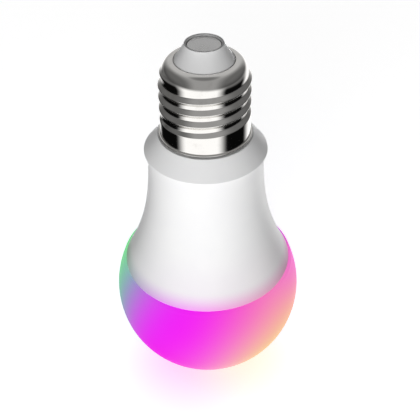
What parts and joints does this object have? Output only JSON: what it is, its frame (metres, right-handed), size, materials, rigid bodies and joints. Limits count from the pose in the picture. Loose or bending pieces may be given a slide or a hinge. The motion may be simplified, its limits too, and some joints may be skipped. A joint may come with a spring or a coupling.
{
  "type": "smart light bulb",
  "caption": "Pear-shaped smart light bulb with a screw cap, flared white housing, colour-changing diffuser dome, and driver, wireless board and LEDs inside.",
  "frame": {"origin": "centre of the cap's end, in the plane of the insulator's rim round the contact", "axes": "+Z along the bulb's axis, from the dome towards the end contact; the cap is at the top"},
  "size_m": [0.06, 0.06, 0.119],
  "materials": {
    "nickel": "nickel-plated brass, polished",
    "tip_plastic": "moulded insulator, satin",
    "white_plastic": "white PBT, satin",
    "diffuser": "opal polycarbonate, lit from inside",
    "aluminium": "drawn sheet",
    "liner_plastic": "natural moulded plastic",
    "silicone": "silicone",
    "white_board": "aluminium-core board with white solder mask",
    "green_board": "fibreglass board, green solder mask",
    "blue_board": "fibreglass board, blue solder mask",
    "black_plastic": "moulded epoxy",
    "phosphor": "phosphor-filled silicone",
    "clear_led": "clear epoxy in a white frame",
    "steel": "zinc-plated",
    "tin": "tinned sheet",
    "pin_brass": "gilt",
    "ferrite": "sintered",
    "copper_coil": "enamelled copper winding on ferrite",
    "capacitor_sleeve": "shrink sleeve",
    "film_case": "epoxy-filled case",
    "varistor_coat": "dipped epoxy",
    "resistor_coat": "cement coat",
    "red_wire": "insulated wire",
    "black_wire": "insulated wire"
  },
  "bodies": {
    "root": {"centre_contact": "nickel", "tip_insulator": "tip_plastic", "screw_shell": "nickel", "housing": "white_plastic", "heat_sink_cup": "aluminium", "driver_sleeve": "liner_plastic", "diffuser_dome": "diffuser", "dome_bond": "silicone", "led_board": "white_board", "thermal_pad": "silicone", "board_screw_1": "steel", "board_screw_2": "steel", "board_screw_3": "steel", "white_led_1": "phosphor", "white_led_2": "phosphor", "white_led_3": "phosphor", "white_led_4": "phosphor", "white_led_5": "phosphor", "white_led_6": "phosphor", "white_led_7": "phosphor", "white_led_8": "phosphor", "colour_led_1": "clear_led", "colour_led_2": "clear_led", "colour_led_3": "clear_led", "colour_led_4": "clear_led", "driver_board": "green_board", "bridge_rectifier": "black_plastic", "fuse_resistor": "resistor_coat", "input_choke": "ferrite", "film_capacitor": "film_case", "surge_varistor": "varistor_coat", "mains_capacitor": "capacitor_sleeve", "output_capacitor": "capacitor_sleeve", "freewheel_diode": "black_plastic", "driver_chip": "black_plastic", "led_control_chip": "black_plastic", "power_inductor": "copper_coil", "wireless_board": "blue_board", "shield_can": "tin", "wireless_chip": "black_plastic", "clock_crystal": "tin", "module_header": "black_plastic", "led_header": "black_plastic", "header_pin_1": "pin_brass", "header_pin_2": "pin_brass", "header_pin_3": "pin_brass", "header_pin_4": "pin_brass", "live_lead": "red_wire", "neutral_lead": "black_wire"}
  },
  "joints": []
}
